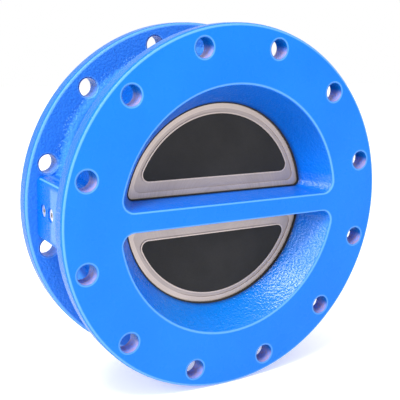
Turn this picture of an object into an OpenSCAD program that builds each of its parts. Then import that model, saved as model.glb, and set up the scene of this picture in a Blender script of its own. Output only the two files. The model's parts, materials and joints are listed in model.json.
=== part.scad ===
// Double-flanged dual-plate check valve, DN300.
// Origin: centre of the inlet flange face. +Y runs with the flow, +Z is up,
// and the hinge pin and the stop pin lie along X. Millimetres.

/* [Body] */
// Length of the valve from the inlet face to the outlet face
body_length = 140; // [138:1:150]
// Outside diameter of both flanges
flange_d = 445; // [440:1:455]
// Thickness of each flange
flange_t = 21; // [20:1:24]
// Radius of the round edges of the flanges
flange_edge_r = 4; // [2:1:5]
// Outside diameter of the neck between the flanges
neck_d = 340; // [334:1:344]
// Bore of the chamber in which the plates swing
chamber_d = 290; // [288:1:294]

/* [Bolting] */
// Diameter of the bolt circle of both flanges
bolt_circle_d = 400; // [396:1:404]
// Diameter of one bolt hole
bolt_hole_d = 23; // [20:1:24]
// Number of bolt holes in each flange
bolt_count = 12; // [12:4:12]

/* [Inlet] */
// Diameter of the inlet recess at the flange face
recess_d = 305; // [300:1:308]
// Diameter of the two D-shaped ports at the seat
port_d = 257; // [256:1:262]
// Distance from the inlet face to the bottom of the seat ring
seat_y = 41.5; // [40:0.5:43]
// Width of the bar between the ports, at the inlet face
bar_front_w = 24; // [20:1:28]
// Width of the bar at the seat
bar_seat_w = 31; // [30:1:36]

/* [Plates] */
// Diameter of the circle that the two plates fill
plate_d = 276; // [272:1:278]
// Thickness of a plate
plate_t = 12.5; // [12:0.5:13]
// Gap between the straight edges of the two plates
plate_gap = 3; // [2:1:4]
// Diameter of the black facing let into each plate
facing_d = 228; // [220:1:232]

/* [Pins and springs] */
// Diameter of the hinge pin and of the stop pin
pin_d = 12; // [11.5:0.5:12]
// Distance from the inlet face to the hinge pin's axis
hinge_y = 73; // [73:0.5:74]
// Distance from the hinge pin's axis to the stop pin's axis
stop_offset = 25; // [25:0.5:27]
// Angle through which each plate opens
open_angle = 80; // [75:1:80]
// Diameter of the spring wire
wire_d = 5; // [4.5:0.5:5]

/* [Hidden] */
$fn = 96;

eps = 0.5;
stop_y = hinge_y + stop_offset;
pin_r = pin_d / 2;

// Casting
neck_fillet_r = 16;
hole_chamfer = 0.4;
recess_edge_r = 2.5;
recess_corner_front_r = 14;
recess_corner_seat_r = 8;
pad_half_h = 38;
pad_face_x = 207.5;
pad_edge_r = 7;
pin_bore_r = pin_r + 0.1;
boss_r = pin_r + 7;
boss_web_half_h = 9;
boss_end_x = 130;

// Seat seal, bonded on the seat ring
seal_t = 2.9;
seal_d = 286;
seal_lip = 1.5;

// Plates
plate_face_y = seat_y + seal_t + 0.1;
plate_back_y = plate_face_y + plate_t;
plate_corner_r = 6;
rim_w = 8;
bead_w = 1.6;
facing_t = 3;
facing_sink = 0.5;
facing_z0 = 36.8;
facing_corner_r = 8;
facing_gap = 0.4;
band_depth = 1;

// Hinge lugs: one lug of each plate on either side, the outer one beside the body
lug_r = hinge_y - plate_back_y - 1;
lug_w = 22;
bearing_w = 3;
side_gap = 0.2;
bush_wall = 2;
running_fit = 0.05;
lug_outer_x = boss_end_x - bearing_w;
lug_inner_x = lug_outer_x - lug_w - bearing_w;
lug_root_z = 40;
bearing_r = 13;

// Stop lugs: at the open angle their tops rest on the stop pin
stop_lug_x = 42;
stop_lug_w = 14;
stop_lug_z = [21, 34];
stop_clearance = 0.2;
stop_lug_top_y = hinge_y + stop_offset * cos(open_angle) - pin_r - stop_clearance;

// Springs
coil_r = pin_r + 0.6 + wire_d / 2;
coil_start_x = bearing_w / 2 + 0.6 + wire_d / 2;
coil_end_x = lug_inner_x - lug_w - bearing_w - 0.6 - wire_d / 2;
coil_turns = 14;
plate_leg_z = 70;
leg_d = wire_d - 0.4;
leg_bend_r = 5;
reaction_leg_z = pin_r + leg_d / 2 + 0.1;
reaction_leg_y = stop_y + 14;
spring_pad_z = [58, 74];
spring_pad_w = 12;
spring_pad_top_y = hinge_y - coil_r - wire_d / 2 - 0.1;

// Pin retainers: plugs screwed into the pads, each on a sealing ring
retainer_r = 7;
retainer_depth = 17;
retainer_sink = 1.5;
socket_across_flats = 6;
socket_depth = 8;
ring_t = 2;
ring_hole_r = 4;
spot_face_r = 8.5;
retainer_outer_x = pad_face_x - retainer_sink;
retainer_inner_x = retainer_outer_x - retainer_depth;
pin_end_x = retainer_inner_x - ring_t;

// Points of an arc round c, from angle a0 to angle a1, in steps equal parts
function arc(c, r, a0, a1, steps) =
    [for (i = [0 : steps]) let (a = a0 + (a1 - a0) * i / steps) c + r * [cos(a), sin(a)]];

// Outline of the part of a disc above the line at height z0, with its two corners rounded
function d_outline(r, z0, corner_r) =
    let (
        cz = z0 + corner_r,
        cx = sqrt(pow(r - corner_r, 2) - cz * cz),
        phi = atan2(cz, cx)
    )
    concat(
        arc([cx, cz], corner_r, -90, phi, 6),
        arc([0, 0], r, phi + 3, 177 - phi, 40),
        arc([-cx, cz], corner_r, 180 - phi, 270, 6)
    );

// How far the round entry edge of the recess stands back at depth y
function entry_edge(y) =
    y >= recess_edge_r ? 0 : recess_edge_r - sqrt(pow(recess_edge_r, 2) - pow(recess_edge_r - y, 2));

// Outline of the upper recess at depth y below the inlet face
function recess_outline(y) =
    let (t = max(y, 0) / seat_y, e = entry_edge(max(y, 0)))
    d_outline(
        (recess_d + (port_d - recess_d) * t) / 2 + e,
        (bar_front_w + (bar_seat_w - bar_front_w) * t) / 2 - e,
        recess_corner_front_r + (recess_corner_seat_r - recess_corner_front_r) * t + e
    );

// Outline of the upper facing, set out by outset all round
function facing_outline(outset) =
    d_outline(facing_d / 2 + outset, facing_z0 - outset, facing_corner_r + outset);

// Stretches a flat outline, drawn in X and Z, from y0 to y1 along the flow
module flow_slab(y0, y1) {
    translate([0, y1, 0]) rotate([90, 0, 0]) linear_extrude(y1 - y0) children();
}

// Turns a profile, drawn as radius and distance along the flow, round the valve's axis
module flow_turned() {
    rotate([-90, 0, 0]) rotate_extrude() children();
}

// Stretches a flat outline, drawn in Y and Z, from x0 to x1
module cross_slab(x0, x1) {
    translate([x0, 0, 0]) rotate([90, 0, 90]) linear_extrude(x1 - x0) children();
}

// Round bar along X at distance y from the inlet face
module cross_bar(x0, x1, r, y, z = 0) {
    translate([x0, y, z]) rotate([0, 90, 0]) cylinder(r = r, h = x1 - x0);
}

// Ring on the hinge axis, from x0 to x1
module hinge_ring(x0, x1, outer_r, inner_r) {
    difference() {
        cross_bar(x0, x1, outer_r, hinge_y);
        cross_bar(x0 - eps, x1 + eps, inner_r, hinge_y);
    }
}

// Shows its children as drawn and again turned half a turn round the flow axis
module both_sides() {
    children();
    rotate([0, 180, 0]) children();
}

module turned_over() {
    rotate([0, 180, 0]) children();
}

module body_outside() {
    flange_r = flange_d / 2;
    neck_r = neck_d / 2;
    back_y = body_length - flange_t;
    flow_turned() polygon(concat(
        [[0, 0]],
        arc([flange_r - flange_edge_r, flange_edge_r], flange_edge_r, -90, 0, 4),
        arc([flange_r - flange_edge_r, flange_t - flange_edge_r], flange_edge_r, 0, 90, 4),
        arc([neck_r + neck_fillet_r, flange_t + neck_fillet_r], neck_fillet_r, 270, 180, 6),
        arc([neck_r + neck_fillet_r, back_y - neck_fillet_r], neck_fillet_r, 180, 90, 6),
        arc([flange_r - flange_edge_r, back_y + flange_edge_r], flange_edge_r, -90, 0, 4),
        arc([flange_r - flange_edge_r, body_length - flange_edge_r], flange_edge_r, 0, 90, 4),
        [[0, body_length]]
    ));
}

// Pad between the flanges that takes the pins' retainers
module pin_pad() {
    flow_slab(flange_t - eps, body_length - flange_t + eps) polygon(concat(
        [[chamber_d / 2 + 10, -pad_half_h]],
        arc([pad_face_x - pad_edge_r, pad_edge_r - pad_half_h], pad_edge_r, -90, 0, 4),
        arc([pad_face_x - pad_edge_r, pad_half_h - pad_edge_r], pad_edge_r, 0, 90, 4),
        [[chamber_d / 2 + 10, pad_half_h]]
    ));
}

// Boss inside the chamber that carries the ends of both pins
module pin_boss() {
    for (y = [hinge_y, stop_y]) {
        cross_bar(boss_end_x, chamber_d / 2 + 5, boss_r, y);
    }
    translate([boss_end_x, hinge_y, -boss_web_half_h])
        cube([chamber_d / 2 + 5 - boss_end_x, stop_offset, 2 * boss_web_half_h]);
}

module upper_recess() {
    depths = [-eps, 0, 0.25, 0.8, 1.5, recess_edge_r, seat_y, seat_y + eps];
    rings = [for (y = depths) [for (p = recess_outline(y)) [p.x, y, p.y]]];
    n = len(rings[0]);
    last = len(depths) - 1;
    walls = [
        for (i = [0 : last - 1], k = [0 : n - 1])
            let (a = i * n + k, b = i * n + (k + 1) % n)
            each [[a, b, b + n], [a, b + n, a + n]]
    ];
    caps = [[for (k = [n - 1 : -1 : 0]) k], [for (k = [0 : n - 1]) last * n + k]];
    polyhedron([for (ring = rings) each ring], concat(walls, caps), convexity = 4);
}

// Hole through both flanges, chamfered at their outer faces
module bolt_hole() {
    r = bolt_hole_d / 2;
    flow_turned() polygon([
        [0, -eps],
        [r + hole_chamfer + eps, -eps],
        [r, hole_chamfer],
        [r, body_length - hole_chamfer],
        [r + hole_chamfer + eps, body_length + eps],
        [0, body_length + eps]
    ]);
}

module bolt_holes() {
    for (i = [0 : bolt_count - 1]) {
        rotate([0, (i + 0.5) * 360 / bolt_count, 0])
            translate([bolt_circle_d / 2, 0, 0]) bolt_hole();
    }
}

// Bore for one end of a pin, opening into the retainer's thread and a spot face
module pin_bore(y) {
    cross_bar(boss_end_x - eps, pin_end_x + eps, pin_bore_r, y);
    cross_bar(pin_end_x, pad_face_x + eps, retainer_r, y);
    cross_bar(retainer_outer_x, pad_face_x + eps, spot_face_r, y);
}

module body() {
    color("dodgerblue") difference() {
        union() {
            difference() {
                union() {
                    body_outside();
                    both_sides() pin_pad();
                }
                flow_slab(seat_y, body_length + eps) circle(r = chamber_d / 2);
                both_sides() upper_recess();
                bolt_holes();
            }
            both_sides() pin_boss();
        }
        both_sides() {
            for (y = [hinge_y, stop_y]) {
                pin_bore(y);
            }
        }
    }
}

module seat_seal() {
    opening = d_outline(port_d / 2 - seal_lip, bar_seat_w / 2 + seal_lip, recess_corner_seat_r - seal_lip);
    color("#1c1c1e") flow_slab(seat_y, seat_y + seal_t) difference() {
        circle(r = seal_d / 2);
        polygon(opening);
        rotate(180) polygon(opening);
    }
}

// Sunken band of the plate's face, from its seating rim to the bead round the facing
module face_groove() {
    flow_slab(plate_face_y - eps, plate_face_y + band_depth) difference() {
        polygon(d_outline(port_d / 2 - rim_w, bar_seat_w / 2 + rim_w, recess_corner_seat_r));
        polygon(facing_outline(facing_gap + bead_w));
    }
}

// Lug with its web down to the plate's back
module hinge_lug(x0) {
    cross_bar(x0, x0 + lug_w, lug_r, hinge_y);
    cross_slab(x0, x0 + lug_w) polygon([
        [plate_back_y - eps, plate_gap / 2],
        [plate_back_y - eps, lug_root_z],
        [plate_back_y + 3, lug_root_z],
        [hinge_y + 2, lug_r - 1],
        [hinge_y, plate_gap / 2]
    ]);
}

module stop_lug(x) {
    cross_slab(x - stop_lug_w / 2, x + stop_lug_w / 2) polygon([
        [plate_back_y - eps, stop_lug_z[0] - 2],
        [plate_back_y - eps, stop_lug_z[1] + 8],
        [plate_back_y + 2, stop_lug_z[1] + 8],
        [stop_lug_top_y, stop_lug_z[1]],
        [stop_lug_top_y, stop_lug_z[0]]
    ]);
}

module spring_pad() {
    cross_slab(coil_end_x - spring_pad_w / 2, coil_end_x + spring_pad_w / 2) polygon([
        [plate_back_y - eps, spring_pad_z[0] - 2],
        [plate_back_y - eps, spring_pad_z[1] + 2],
        [spring_pad_top_y, spring_pad_z[1]],
        [spring_pad_top_y, spring_pad_z[0]]
    ]);
}

// Plate above the hinge; the one below is the same casting turned half a turn
module plate() {
    difference() {
        union() {
            flow_slab(plate_face_y, plate_back_y)
                polygon(d_outline(plate_d / 2, plate_gap / 2, plate_corner_r));
            for (x = [-lug_outer_x, lug_inner_x - lug_w]) {
                hinge_lug(x);
            }
            for (x = [-stop_lug_x, stop_lug_x]) {
                stop_lug(x);
            }
            spring_pad();
        }
        face_groove();
        flow_slab(plate_face_y - eps, plate_face_y + facing_sink + facing_t)
            polygon(facing_outline(facing_gap));
        cross_bar(-lug_outer_x - eps, lug_outer_x + eps, pin_r + bush_wall, hinge_y);
    }
}

module upper_plate() {
    color("#beafa8") plate();
}

module lower_plate() {
    color("#beafa8") turned_over() plate();
}

module facing() {
    y0 = plate_face_y + facing_sink;
    color("#2f2f31") flow_slab(y0, y0 + facing_t)
        polygon(facing_outline(0));
}

module upper_plate_facing() {
    facing();
}

module lower_plate_facing() {
    turned_over() facing();
}

// Plain bush pressed into a lug that starts at x0
module bush(x0) {
    color("#b08d57") hinge_ring(x0, x0 + lug_w, pin_r + bush_wall, pin_r + running_fit);
}

module bush_outer() {
    bush(-lug_outer_x);
}

module bush_inner() {
    bush(lug_inner_x - lug_w);
}

module hinge_pin() {
    color("silver") cross_bar(-pin_end_x, pin_end_x, pin_r, hinge_y);
}

module stop_pin() {
    color("silver") cross_bar(-pin_end_x, pin_end_x, pin_r, stop_y);
}

// Leg that rises from the back of the coil, bends over the stop pin and runs on past it
module reaction_leg() {
    bend_z = reaction_leg_z - leg_bend_r;
    cylinder(d = leg_d, h = bend_z);
    translate([0, leg_bend_r, bend_z]) rotate([90, 0, -90])
        rotate_extrude(angle = 90) translate([leg_bend_r, 0]) circle(d = leg_d);
    translate([0, leg_bend_r, reaction_leg_z]) rotate([-90, 0, 0])
        cylinder(d = leg_d, h = reaction_leg_y - hinge_y - coil_r - leg_bend_r);
}

// Torsion spring that closes the upper plate, with one leg on the plate and one on the stop pin
module spring() {
    pitch = (coil_end_x - coil_start_x) / (coil_turns - 1);
    color("lightsteelblue") {
        translate([0, hinge_y, 0]) rotate([0, 90, 0]) rotate_extrude() {
            for (i = [0 : coil_turns - 1]) {
                translate([coil_r, coil_start_x + i * pitch]) circle(d = wire_d);
            }
            translate([coil_r - wire_d / 4, coil_start_x]) square([wire_d / 2, coil_end_x - coil_start_x]);
        }
        translate([coil_end_x, hinge_y - coil_r, 0]) cylinder(d = leg_d, h = plate_leg_z);
        translate([coil_start_x, hinge_y + coil_r, 0]) reaction_leg();
    }
}

module upper_spring() {
    spring();
}

module lower_spring() {
    turned_over() spring();
}

// Thrust ring that fills the space from x to x plus the bearing width, less its side gaps
module bearing(x) {
    color("#d8d2c0") hinge_ring(x + side_gap, x + bearing_w - side_gap, bearing_r, pin_r + 0.1);
}

module body_bearing() {
    bearing(boss_end_x - bearing_w);
}

module plate_bearing() {
    bearing(lug_inner_x);
}

module spring_bearing() {
    bearing(lug_inner_x - lug_w - bearing_w);
}

module spring_bearing_middle() {
    bearing(-bearing_w / 2);
}

module retainer(y) {
    color("#c9c6c0") difference() {
        cross_bar(retainer_inner_x, retainer_outer_x, retainer_r, y);
        translate([retainer_outer_x - socket_depth, y, 0]) rotate([0, 90, 0])
            cylinder(d = socket_across_flats / cos(30), h = socket_depth + eps, $fn = 6);
    }
}

module retainer_ring(y) {
    color("#8a5a2c") difference() {
        cross_bar(pin_end_x, retainer_inner_x, retainer_r, y);
        cross_bar(pin_end_x - eps, retainer_inner_x + eps, ring_hole_r, y);
    }
}

body();
seat_seal();
upper_plate();
lower_plate();
upper_plate_facing();
lower_plate_facing();
bush_inner();  // upper_bush_inner
bush_outer();  // upper_bush_outer
turned_over() bush_inner();  // lower_bush_inner
turned_over() bush_outer();  // lower_bush_outer
hinge_pin();
stop_pin();
upper_spring();
lower_spring();
turned_over() body_bearing();  // body_bearing_left
body_bearing();  // body_bearing_right
turned_over() plate_bearing();  // plate_bearing_left
plate_bearing();  // plate_bearing_right
turned_over() spring_bearing();  // spring_bearing_left
spring_bearing_middle();
spring_bearing();  // spring_bearing_right
turned_over() retainer(hinge_y);  // hinge_retainer_left
retainer(hinge_y);  // hinge_retainer_right
turned_over() retainer(stop_y);  // stop_retainer_left
retainer(stop_y);  // stop_retainer_right
turned_over() retainer_ring(hinge_y);  // hinge_ring_left
retainer_ring(hinge_y);  // hinge_ring_right
turned_over() retainer_ring(stop_y);  // stop_ring_left
retainer_ring(stop_y);  // stop_ring_right
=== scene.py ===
import json
from functools import cached_property
from math import cos, pi, radians, sin, tau

import bpy
import numpy as np
from mathutils import Matrix, Vector


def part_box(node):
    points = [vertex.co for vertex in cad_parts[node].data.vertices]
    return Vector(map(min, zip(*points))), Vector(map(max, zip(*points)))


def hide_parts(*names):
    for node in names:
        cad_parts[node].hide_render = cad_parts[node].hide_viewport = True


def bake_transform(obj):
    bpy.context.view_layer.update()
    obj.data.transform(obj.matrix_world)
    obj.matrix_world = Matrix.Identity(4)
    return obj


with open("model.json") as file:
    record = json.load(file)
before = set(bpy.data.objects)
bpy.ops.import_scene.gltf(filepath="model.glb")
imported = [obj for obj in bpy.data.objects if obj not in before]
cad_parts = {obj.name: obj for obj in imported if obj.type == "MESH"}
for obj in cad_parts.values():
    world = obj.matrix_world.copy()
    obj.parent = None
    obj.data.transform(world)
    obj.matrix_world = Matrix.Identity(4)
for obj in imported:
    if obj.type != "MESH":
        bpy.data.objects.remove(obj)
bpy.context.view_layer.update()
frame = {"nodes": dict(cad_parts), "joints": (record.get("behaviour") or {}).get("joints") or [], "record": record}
nodes = frame["nodes"]

MM = 0.001

# Places taken from the frame
HINGE_Y = frame["joints"][0]["pos_m"][1]
BODY_LOW, BODY_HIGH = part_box("body")
OUTLET_Y = BODY_HIGH.y
FLANGE_R = BODY_HIGH.z
FLOOR_Z = BODY_LOW.z
BOLTS = next(m for m in frame["record"]["mounts"] if m["name"] == "inlet_bolts")["dims"]
BOLT_CIRCLE_R = BOLTS["pcd_mm"] / 2 * MM
BOLT_COUNT = BOLTS["count"]
HOLE_R = BOLTS["hole_r_mm"] * MM

# Places on the body that only its coating needs
FLANGE_T = 21 * MM
REAR_FLANGE_Y = OUTLET_Y - FLANGE_T
NECK_FOOT_R = 188 * MM
NECK_FOOT_SOFT = 6 * MM
HOLE_ZONE = 16 * MM
ROLL_W = 2.2 * MM


# ---------------------------------------------------------------- materials


class Recipe:
    """A node material that is built up by calls, with the Principled shader as its end."""

    def __init__(self, name, **constants):
        self.material = bpy.data.materials.new(name)
        self.material.use_nodes = True
        self.tree = self.material.node_tree
        self.shader = self.tree.nodes["Principled BSDF"]
        for socket, value in constants.items():
            self.shader.inputs[socket.replace("_", " ")].default_value = value
        self.place = self.add("ShaderNodeTexCoord").outputs["Object"]
        self.relief = None

    def add(self, kind, inputs=(), **settings):
        made = self.tree.nodes.new(kind)
        for key, value in settings.items():
            setattr(made, key, value)
        for key, value in dict(inputs).items():
            self.feed(made.inputs[key], value)
        return made

    def feed(self, socket, value):
        if isinstance(value, bpy.types.NodeSocket):
            self.tree.links.new(value, socket)
        else:
            socket.default_value = value

    def math(self, operation, a, b=0.0, c=0.0, clamp=False):
        made = self.add("ShaderNodeMath", {0: a, 1: b, 2: c}, operation=operation, use_clamp=clamp)
        return made.outputs[0]

    def stretch(self, scale):
        return self.add("ShaderNodeMapping", {"Vector": self.place, "Scale": scale}).outputs[0]

    def noise(self, scale, detail=3.0, roughness=0.5, place=None):
        inputs = {
            "Vector": place or self.place,
            "Scale": scale,
            "Detail": detail,
            "Roughness": roughness,
        }
        return self.add("ShaderNodeTexNoise", inputs).outputs["Fac"]

    def span(self, value, low, high, to_low=0.0, to_high=1.0):
        """value carried from low..high to to_low..to_high, with soft ends."""
        inputs = {0: value, 1: low, 2: high, 3: to_low, 4: to_high}
        return self.add("ShaderNodeMapRange", inputs, interpolation_type="SMOOTHSTEP").outputs[0]

    def fade(self, value, low, high):
        """1 up to low, and 0 from high on."""
        return self.span(value, low, high, 1.0, 0.0)

    def between(self, value, low, high, soft):
        """1 where value lies from low to high, falling to 0 over soft on either side."""
        return self.product(self.span(value, low - soft, low), self.fade(value, high, high + soft))

    def invert(self, share):
        return self.math("SUBTRACT", 1.0, share)

    def mix(self, share, a, b):
        made = self.add("ShaderNodeMix", {0: share, 6: a, 7: b}, data_type="RGBA")
        return made.outputs[2]

    def product(self, first, *others):
        for other in others:
            first = self.math("MULTIPLY", first, other)
        return first

    def largest(self, first, *others):
        for other in others:
            first = self.math("MAXIMUM", first, other)
        return first

    def over(self, under, color, *shares):
        """color laid over under, by the product of the shares."""
        return self.mix(self.product(*shares), under, (*color, 1))

    @cached_property
    def axes(self):
        """Sockets of x, y and z, and of the distance from the flow axis."""
        split = self.add("ShaderNodeSeparateXYZ", {0: self.place})
        x, y, z = (split.outputs[i] for i in range(3))
        square = self.math("ADD", self.product(x, x), self.product(z, z))
        return x, y, z, self.math("SQRT", square)

    def bump(self, height, strength, distance):
        inputs = {"Height": height, "Strength": strength, "Distance": distance}
        if self.relief is not None:
            inputs["Normal"] = self.relief
        self.relief = self.add("ShaderNodeBump", inputs).outputs[0]

    def finish(self, color, roughness):
        self.feed(self.shader.inputs["Base Color"], color)
        self.feed(self.shader.inputs["Roughness"], roughness)
        if self.relief is not None:
            self.feed(self.shader.inputs["Normal"], self.relief)
            self.feed(self.shader.inputs["Coat Normal"], self.relief)
        return self.material


def nearest_hole(r, x, z):
    """Height above the axis of the nearest bolt hole, and the distance from that axis."""
    step = tau / BOLT_COUNT
    turn = r.math("SUBTRACT", r.math("ARCTAN2", z, x), step / 2)
    centre = r.math("MULTIPLY_ADD", r.math("ROUND", r.math("DIVIDE", turn, step)), step, step / 2)
    off_x = r.math("SUBTRACT", x, r.product(r.math("COSINE", centre), BOLT_CIRCLE_R))
    off_z = r.math("SUBTRACT", z, r.product(r.math("SINE", centre), BOLT_CIRCLE_R))
    square = r.math("MULTIPLY_ADD", off_x, off_x, r.product(off_z, off_z))
    return off_z, r.math("SQRT", square)


def coat_gap(r, blue, gap, peel):
    """Between the flanges: painted shade, deeper on the front half and the waist of the neck, painted light on the
    neck's fillet at the rear flange, painted glints where that fillet meets the flange, and random mottle.
    """
    _, y, z, radius = r.axes
    foot_d = r.math("SUBTRACT", radius, r.span(z, 50 * MM, 110 * MM, 0.0, 5 * MM))
    uneven = r.math("MULTIPLY_ADD", peel, 8 * MM, foot_d)
    past_fillet = r.span(uneven, NECK_FOOT_R, NECK_FOOT_R + NECK_FOOT_SOFT)
    # Painted shade between the flanges, where the inlet flange keeps the light off
    blue = r.over(blue, (0.0, 0.118, 0.58), gap, past_fillet, 0.9)
    neck = r.product(gap, r.invert(past_fillet))
    front = r.fade(y, 80 * MM, 100 * MM)
    waist = r.largest(front, r.fade(foot_d, 174 * MM, 182 * MM))
    # Painted shade, deeper, on the front half and the waist of the neck
    blue = r.over(blue, (0.0, 0.06, 0.34), neck, waist, 0.8)
    # Painted light on the neck's fillet at the rear flange
    blue = r.over(blue, (0.09, 0.38, 0.90), neck, r.invert(waist), 0.8)
    # Painted glints: light specks where the neck's fillet meets the rear flange
    at_foot = r.between(foot_d, NECK_FOOT_R - 4 * MM, NECK_FOOT_R + 4 * MM, 3 * MM)
    glint_specks = r.span(r.noise(380, roughness=0.7), 0.54, 0.64)
    blue = r.over(blue, (0.30, 0.66, 1.0), gap, at_foot, glint_specks, 0.45)
    mottle = r.span(r.noise(420, roughness=0.7), 0.52, 0.66)
    return r.over(blue, (0.0, 0.22, 0.84), mottle, gap, 0.4)


def coat_pads(r, blue):
    """The pads stand proud: painted light on the half beside the inlet flange, and a painted highlight along their
    upper and lower edges.
    """
    x, y, z, _ = r.axes
    off_x, off_z = r.math("ABSOLUTE", x), r.math("ABSOLUTE", z)
    along = r.between(y, 28 * MM, 112 * MM, 3 * MM)
    on_pad = r.product(along, r.span(off_x, 194 * MM, 198 * MM))
    front = r.fade(y, 70 * MM, 76 * MM)
    between_edges = r.fade(off_z, 28 * MM, 34 * MM)
    # Painted light on the pad face beside the inlet flange
    blue = r.over(blue, (0.14, 0.30, 0.88), on_pad, front, between_edges, 0.7)
    # Painted highlight along the pad's upper and lower edges
    edge = r.between(off_z, 35.3 * MM, 36.2 * MM, 0.6 * MM)
    return r.over(blue, (0.17, 0.46, 0.90), on_pad, edge, 0.6)


def coat_recess(r, blue, recess, low_right):
    """Behind the inlet face: painted shade, slight over the whole recess and deeper up in the vault, under the bar
    and at the ports, and painted light low on the right.
    """
    _, y, z, _ = r.axes
    vault = r.span(z, 20 * MM, 110 * MM)
    under_bar = r.between(z, -26 * MM, -8 * MM, 6 * MM)
    at_ports = r.span(y, 36 * MM, 42 * MM)
    # Painted shade: slight over the whole recess, deeper up in the vault and under the bar
    blue = r.over(blue, (0.0, 0.150, 0.68), recess, 0.8)
    blue = r.over(blue, (0.0, 0.088, 0.42), recess, vault, 0.8)
    blue = r.over(blue, (0.0, 0.06, 0.32), recess, under_bar, 0.6)
    # Painted light low on the right of the recess
    blue = r.over(blue, (0.0, 0.185, 0.68), low_right, 0.8)
    # Painted shade at the ports, round the plates
    return r.over(blue, (0.003, 0.03, 0.16), at_ports, recess, 0.7)


def coat_edges(r, blue, on_flange, hole_d):
    """Painted highlight along round edges and round the holes; painted shade on the rims, patchy and a little
    deeper towards the top.
    """
    _, y, z, radius = r.axes
    inlet_edge = r.between(y, 0.25 * MM, 1.1 * MM, 0.25 * MM)
    outlet_edge = r.between(y, OUTLET_Y - 1.1 * MM, OUTLET_Y - 0.25 * MM, 0.25 * MM)
    past_neck = r.span(radius, NECK_FOOT_R, NECK_FOOT_R + NECK_FOOT_SOFT)
    rear_edge = r.between(y, REAR_FLANGE_Y + 0.2 * MM, REAR_FLANGE_Y + 1.7 * MM, 0.3 * MM)
    rear_edge = r.product(rear_edge, past_neck)
    ring = r.between(hole_d, HOLE_R + 0.7 * MM, HOLE_R + 2.1 * MM, 0.6 * MM)
    edge_highlight = r.largest(inlet_edge, outlet_edge, rear_edge, r.product(on_flange, ring, 0.8))
    # Painted highlight along the round edges and round the holes
    blue = r.over(blue, (0.17, 0.42, 0.90), edge_highlight, 0.55)
    # Painted shade on the rims, in random patches, a little deeper towards the top
    on_rim = r.span(radius, FLANGE_R - 0.6 * MM, FLANGE_R - 0.2 * MM)
    upper = r.span(z, 0.0, 120 * MM)
    rim_shade_color = r.mix(upper, (0.022, 0.135, 0.56, 1), (0.010, 0.118, 0.52, 1))
    rim_shade_patches = r.span(r.noise(40), 0.3, 0.7, 0.35, 0.75)
    return r.mix(r.product(on_rim, rim_shade_patches), blue, rim_shade_color)


def coat_holes(r, blue, on_flange, hole_z, hole_d):
    """The walls: painted light on the lower half, greyish lilac in blotches and bluer towards the rear flange, and
    painted shade, dark blue, on the upper half.
    """
    _, y, _, _ = r.axes
    wall = r.fade(hole_d, HOLE_R + 0.1 * MM, HOLE_R + 0.4 * MM)
    # Painted light on the lower wall of each hole, in greyish lilac blotches
    lit_wall_blotches = r.span(r.noise(220, 2.0), 0.4, 0.62)
    lit_wall_color = r.mix(lit_wall_blotches, (0.25, 0.31, 0.74, 1), (0.36, 0.30, 0.52, 1))
    lit_wall_color = r.over(lit_wall_color, (0.03, 0.24, 0.80), r.span(y, OUTLET_Y / 2, REAR_FLANGE_Y, 0.0, 0.8))
    # Painted shade, dark blue, on the upper wall of each hole; painted light below
    lower = r.fade(hole_z, -5 * MM, 4 * MM)
    lit_and_shaded_wall = r.mix(lower, (0.0, 0.12, 0.46, 1), lit_wall_color)
    return r.mix(r.product(on_flange, wall), blue, lit_and_shaded_wall)


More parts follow.
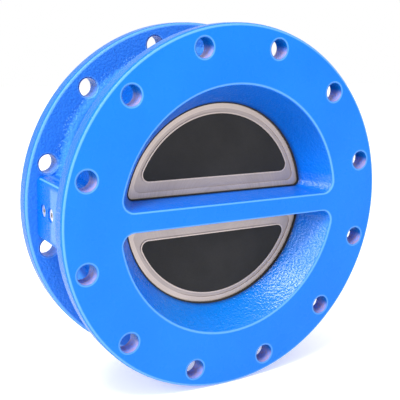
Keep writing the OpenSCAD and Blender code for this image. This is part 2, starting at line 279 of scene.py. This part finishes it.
def coated_iron():
    """Blue epoxy over cast iron: smooth on the machined flange faces, grainy on the cast skin."""
    r = Recipe(
        "coated_iron", IOR=1.45, Specular_IOR_Level=0.16, Coat_Roughness=0.22, Coat_IOR=1.75
    )
    x, y, z, radius = r.axes
    hole_z, hole_d = nearest_hole(r, x, z)
    off_circle = r.math("ABSOLUTE", r.math("SUBTRACT", radius, BOLT_CIRCLE_R))
    on_flange = r.math("LESS_THAN", off_circle, HOLE_ZONE)
    cast = r.between(y, 1.0 * MM, OUTLET_Y - 1.0 * MM, 0.7 * MM)
    between_flanges = r.between(y, FLANGE_T, REAR_FLANGE_Y + 0.3 * MM, 0.3 * MM)
    gap = r.product(between_flanges, r.span(radius, 160 * MM, 165 * MM))
    recess = r.product(r.between(y, 3 * MM, 60 * MM, 3 * MM), r.fade(radius, 150 * MM, 158 * MM))
    slope = r.math("MULTIPLY_ADD", z, -1.0, r.product(x, 0.35))
    low_right = r.product(recess, r.span(slope, 45 * MM, 95 * MM))

    # Relief: deep on the cast skin and almost none on the machined faces
    peel = r.noise(330, 2.0)
    skin = (
        (r.noise(26, 2.0), 0.35, 3 * MM),
        (peel, 0.95, 1 * MM),
        (r.noise(900, 2.0, 0.6), 0.35, 0.25 * MM),
    )
    for height, strength, depth in skin:
        r.bump(height, r.math("MULTIPLY_ADD", cast, strength, 0.02), depth)
    # The coat rolls over the edge of each drilled hole
    off_edge = r.math("DIVIDE", r.math("SUBTRACT", hole_d, HOLE_R), ROLL_W, clamp=True)
    dip = r.math("POWER", r.invert(off_edge), 2.0)
    r.bump(r.product(dip, -0.8), on_flange, ROLL_W)

    patches = r.span(r.noise(9), 0.3, 0.7)
    blue = r.mix(patches, (0.003, 0.150, 0.70, 1), (0.005, 0.164, 0.74, 1))
    blue = r.over(blue, (0.0, 0.12, 0.56), r.span(peel, 0.50, 0.28), cast, 0.4)
    # Painted shade and painted light: between the flanges, on the pads, in the recess, along edges and rims, and
    # in the bolt holes
    blue = coat_gap(r, blue, gap, peel)
    blue = coat_pads(r, blue)
    blue = coat_recess(r, blue, recess, low_right)
    blue = coat_edges(r, blue, on_flange, hole_d)
    color = coat_holes(r, blue, on_flange, hole_z, hole_d)

    # Wet-looking gloss low in the recess, over the bar's right end and between the flanges
    over_bar = r.between(z, 12 * MM, 30 * MM, 8 * MM)
    bar_end = r.product(over_bar, r.span(x, 85 * MM, 115 * MM), recess)
    gloss = r.largest(low_right, bar_end, r.product(gap, 0.04))
    r.feed(r.shader.inputs["Coat Weight"], r.math("MULTIPLY_ADD", gloss, 0.62, 0.03))
    # Sprayed from below, so the coat is drier on the upper walls of the recess
    dry = r.product(r.span(z, -40 * MM, 80 * MM, 0.0, 0.16), recess)
    return r.finish(color, r.math("ADD", r.span(r.noise(60), 0.3, 0.7, 0.24, 0.34), dry))


def cast_stainless():
    """Satin stainless casting: turned on its sealing face, cast and blasted elsewhere."""
    r = Recipe("cast_stainless", Metallic=0.75)
    _, y, _, radius = r.axes
    turned = r.add("ShaderNodeCombineXYZ", {0: radius, 1: r.product(y, 0.2)}).outputs[0]
    rings = r.noise(1400, 2.0, 0.6, place=turned)
    grain = r.noise(900, 3.0, 0.6)
    clouds = r.span(r.noise(28, 4.0, 0.6), 0.3, 0.7)
    r.bump(grain, 0.25, 0.2 * MM)
    r.bump(rings, 0.20, 0.12 * MM)
    color = r.mix(clouds, (0.44, 0.36, 0.32, 1), (0.56, 0.47, 0.43, 1))
    raised = r.between(y, 44.0 * MM, 44.7 * MM, 0.2 * MM)
    off_middle = r.span(radius, 20 * MM, 30 * MM)
    color = r.over(color, (0.58, 0.50, 0.46), raised, off_middle, 0.7)
    sunken = r.between(y, 45.2 * MM, 45.8 * MM, 0.2 * MM)
    color = r.over(color, (0.36, 0.315, 0.31), sunken, 0.7)
    color = r.over(color, (0.28, 0.23, 0.21), r.span(rings, 0.45, 0.7), 0.3)
    return r.finish(color, r.span(grain, 0.3, 0.7, 0.40, 0.54))


def metal(name, dark, light, roughness, across=(1, 1, 1), scale=900, metallic=0.95):
    """Turned or drawn metal, with tool marks stretched along the axes where across is small."""
    r = Recipe(name, Metallic=metallic)
    marks = r.noise(scale, 3.0, 0.6, place=r.stretch(across))
    r.bump(marks, 0.22, 0.08 * MM)
    color = r.mix(r.span(marks, 0.3, 0.7), (*dark, 1), (*light, 1))
    return r.finish(color, r.span(r.noise(70), 0.3, 0.7, roughness - 0.06, roughness + 0.08))


def rubber(name, dark, light, roughness):
    r = Recipe(name, Specular_IOR_Level=0.22)
    grain = r.noise(1100, 3.0, 0.65)
    bloom = r.noise(18, 4.0, 0.55)
    r.bump(grain, 0.35, 0.12 * MM)
    r.bump(bloom, 0.10, 1.2 * MM)
    color = r.mix(r.span(bloom, 0.3, 0.7), (*dark, 1), (*light, 1))
    return r.finish(color, r.span(grain, 0.3, 0.7, roughness - 0.08, roughness + 0.08))


def bearing_polymer():
    r = Recipe("bearing_polymer", Subsurface_Weight=0.08)
    specks = r.noise(1600, 2.0)
    r.bump(r.noise(500, 3.0), 0.15, 0.1 * MM)
    color = r.mix(r.span(specks, 0.55, 0.68), (0.62, 0.58, 0.48, 1), (0.36, 0.33, 0.28, 1))
    return r.finish(color, 0.5)


def floor_paint():
    r = Recipe("floor_paint", Specular_IOR_Level=0.2)
    r.feed(r.shader.inputs["Emission Color"], (1, 1, 1, 1))
    r.feed(r.shader.inputs["Emission Strength"], 0.35)
    color = r.mix(r.noise(2.0), (0.90, 0.90, 0.90, 1), (0.93, 0.93, 0.93, 1))
    return r.finish(color, 0.6)


MATERIALS = {
    "coated_iron": coated_iron(),
    "cast_stainless": cast_stainless(),
    "seat_rubber": rubber("seat_rubber", (0.010, 0.010, 0.011), (0.020, 0.020, 0.021), 0.50),
    "facing_rubber": rubber(
        "facing_rubber", (0.019, 0.0180, 0.0172), (0.026, 0.0248, 0.0238), 0.74
    ),
    "sealing_ring": rubber("sealing_ring", (0.20, 0.09, 0.035), (0.27, 0.13, 0.055), 0.66),
    "pin_steel": metal(
        "pin_steel", (0.50, 0.50, 0.51), (0.68, 0.68, 0.69), 0.24, across=(0.08, 1, 1)
    ),
    "plug_steel": metal(
        "plug_steel", (0.72, 0.71, 0.69), (0.92, 0.91, 0.89), 0.30, metallic=0.85
    ),
    "spring_wire": metal(
        "spring_wire", (0.42, 0.43, 0.45), (0.62, 0.63, 0.66), 0.28, scale=600
    ),
    "bronze": metal(
        "bronze", (0.42, 0.26, 0.10), (0.62, 0.42, 0.20), 0.34, across=(1, 0.2, 0.2)
    ),
    "bearing_polymer": bearing_polymer(),
}


# ---------------------------------------------------------------- CAD nodes


FACET_LIMIT = radians(32)
SAME_SPOT = 2e-3 * MM


def smooth_normals(obj):
    """Rounds the shading across facets that meet at less than the limit. No vertex is moved."""
    mesh = obj.data
    count = len(mesh.polygons)
    face_normal = np.empty(count * 3)
    face_area = np.empty(count)
    mesh.polygons.foreach_get("normal", face_normal)
    mesh.polygons.foreach_get("area", face_area)
    face_normal = face_normal.reshape(-1, 3)
    corner_vertex = np.empty(len(mesh.loops), int)
    mesh.loops.foreach_get("vertex_index", corner_vertex)
    place = np.empty(len(mesh.vertices) * 3)
    mesh.vertices.foreach_get("co", place)
    corner_face = np.repeat(np.arange(count), 3)
    cells = np.round(place.reshape(-1, 3) / SAME_SPOT)
    _, spot = np.unique(cells, axis=0, return_inverse=True)
    corner_spot = spot.ravel()[corner_vertex]
    order = np.argsort(corner_spot, kind="stable")
    starts = np.flatnonzero(np.r_[True, np.diff(corner_spot[order]) > 0])
    least = cos(FACET_LIMIT)
    made = np.empty((len(mesh.loops), 3))
    for group in np.split(order, starts[1:]):
        faces = corner_face[group]
        around = face_normal[faces]
        near = (around @ around.T) >= least
        made[group] = near @ (around * face_area[faces][:, None])
    made /= np.maximum(np.linalg.norm(made, axis=1, keepdims=True), 1e-12)
    mesh.normals_split_custom_set([tuple(n) for n in made])


def dress_nodes():
    """Gives each CAD node the material of its slot, and smooth shading."""
    for entry in frame["record"]["subparts"]:
        obj = nodes[entry["node"]]
        for slot in obj.material_slots:
            slot.material = MATERIALS[entry["material_slot"]]
        if entry["material_slot"] != "spring_wire":
            smooth_normals(obj)


# ---------------------------------------------------------------- springs


def tube(name, path, radius, sides=12):
    """A closed round tube along the points of path."""
    path = [Vector(p) for p in path]
    rings = []
    side = Vector((1, 0, 0))
    for i, point in enumerate(path):
        ahead = (path[min(i + 1, len(path) - 1)] - path[max(i - 1, 0)]).normalized()
        side = (side - ahead * side.dot(ahead)).normalized()
        other = ahead.cross(side)
        angles = [tau * k / sides for k in range(sides)]
        rings.append([point + radius * (cos(a) * side + sin(a) * other) for a in angles])
    vertices = [v for ring in rings for v in ring]
    last = (len(path) - 1) * sides
    faces = [
        (row + k, row + (k + 1) % sides, row + sides + (k + 1) % sides, row + sides + k)
        for row in range(0, last, sides)
        for k in range(sides)
    ]
    faces.append(tuple(reversed(range(sides))))
    faces.append(tuple(range(last, last + sides)))
    mesh = bpy.data.meshes.new(name)
    mesh.from_pydata(vertices, [], faces)
    mesh.polygons.foreach_set("use_smooth", [len(f) == 4 for f in faces])
    mesh.update()
    obj = bpy.data.objects.new(name, mesh)
    bpy.context.scene.collection.objects.link(obj)
    return obj


def line(a, b, steps):
    """Points from a towards b, without b itself."""
    return [Vector(a).lerp(Vector(b), i / steps) for i in range(steps)]


def spring_path(low, high, wire_r):
    """Plate leg, coil, and the leg that bends over the stop pin, within the CAD spring's box."""
    turns, steps_a_turn = 13.5, 22
    bend_r, bend_steps = 5 * MM, 8
    coil_r = HINGE_Y - low.y - wire_r
    x_plate, x_stop = high.x - wire_r, low.x + wire_r
    over_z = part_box("stop_pin")[1].z + wire_r
    path = line((x_plate, HINGE_Y - coil_r, high.z), (x_plate, HINGE_Y - coil_r, 0), steps=20)
    steps = int(turns * steps_a_turn)
    for i in range(steps + 1):
        t = i / steps
        a = pi + tau * turns * t
        x = x_plate + (x_stop - x_plate) * t
        path.append(Vector((x, HINGE_Y + coil_r * cos(a), coil_r * sin(a))))
    y_rise = HINGE_Y + coil_r
    y_bend = y_rise + bend_r
    z_bend = over_z - bend_r
    path += line((x_stop, y_rise, 1 * MM), (x_stop, y_rise, z_bend), steps=3)
    for i in range(bend_steps + 1):
        a = pi / 2 * i / bend_steps
        path.append(Vector((x_stop, y_bend - bend_r * cos(a), z_bend + bend_r * sin(a))))
    path += line((x_stop, y_bend + 2 * MM, over_z), (x_stop, high.y, over_z), steps=8)
    path.append(Vector((x_stop, high.y, over_z)))
    return path


def wind_springs():
    """Wound wire in place of the CAD springs: the legs held, the coil twisted between them."""
    wire_r = 2.5 * MM
    low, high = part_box("upper_spring")
    path = spring_path(low, high, wire_r)
    for side, sign in (("upper", 1), ("lower", -1)):
        name = side + "_spring"
        turned = [Vector((sign * p.x, p.y, sign * p.z)) for p in path]
        piece = tube(name + "_wire", turned, wire_r)
        piece.data.materials.append(MATERIALS["spring_wire"])
        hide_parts(name)
        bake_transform(piece)


# ---------------------------------------------------------------- studio


def lay_floor():
    """A pale floor, 10 m square, at the flanges' lowest point."""
    half = 5.0
    mesh = bpy.data.meshes.new("floor")
    corners = [(-half, -half), (half, -half), (half, half), (-half, half)]
    mesh.from_pydata([(u, v, FLOOR_Z) for u, v in corners], [], [(0, 1, 2, 3)])
    mesh.materials.append(floor_paint())
    floor = bpy.data.objects.new("floor", mesh)
    bpy.context.scene.collection.objects.link(floor)


def area_light(name, place, target, size, power):
    data = bpy.data.lights.new(name, "AREA")
    data.shape = "RECTANGLE"
    data.size, data.size_y = size
    data.energy = power
    light = bpy.data.objects.new(name, data)
    light.location = place
    aim = Vector(target) - Vector(place)
    light.rotation_euler = aim.to_track_quat("-Z", "Y").to_euler()
    bpy.context.scene.collection.objects.link(light)


def light_studio():
    world = bpy.data.worlds.new("studio")
    world.use_nodes = True
    background = world.node_tree.nodes["Background"]
    background.inputs["Color"].default_value = (1.0, 1.0, 1.0, 1)
    background.inputs["Strength"].default_value = 1.0
    bpy.context.scene.world = world
    middle = (0, 0.03, 0)
    area_light("key", (-0.71, -0.58, 1.41), middle, (0.5, 0.5), 20)
    area_light("side", (-1.45, -0.48, 0.71), middle, (0.8, 0.6), 11)
    area_light("top", (0.0, 0.3, 1.9), middle, (1.6, 0.8), 1.5)


def set_camera():
    """Camera left of the inlet and a little above it, rolled slightly."""
    azimuth, elevation, roll = radians(-31.48), radians(12.33), radians(1.71)
    target = Vector((-36.6 * MM, 25.7 * MM, 12.8 * MM))
    distance = 898.9 * MM
    out = cos(elevation)
    back = Vector((sin(azimuth) * out, -cos(azimuth) * out, sin(elevation)))
    level = Vector((cos(azimuth), sin(azimuth), 0))
    upright = back.cross(level)
    right = cos(roll) * level + sin(roll) * upright
    up = cos(roll) * upright - sin(roll) * level
    data = bpy.data.cameras.new("camera")
    data.lens = 67.14
    data.sensor_width = 36
    camera = bpy.data.objects.new("camera", data)
    turn = Matrix((right, up, back)).transposed().to_4x4()
    camera.matrix_world = Matrix.Translation(target + distance * back) @ turn
    bpy.context.scene.collection.objects.link(camera)
    bpy.context.scene.camera = camera


set_camera()
dress_nodes()
wind_springs()
lay_floor()
light_studio()
bpy.context.scene.view_settings.view_transform = "Standard"
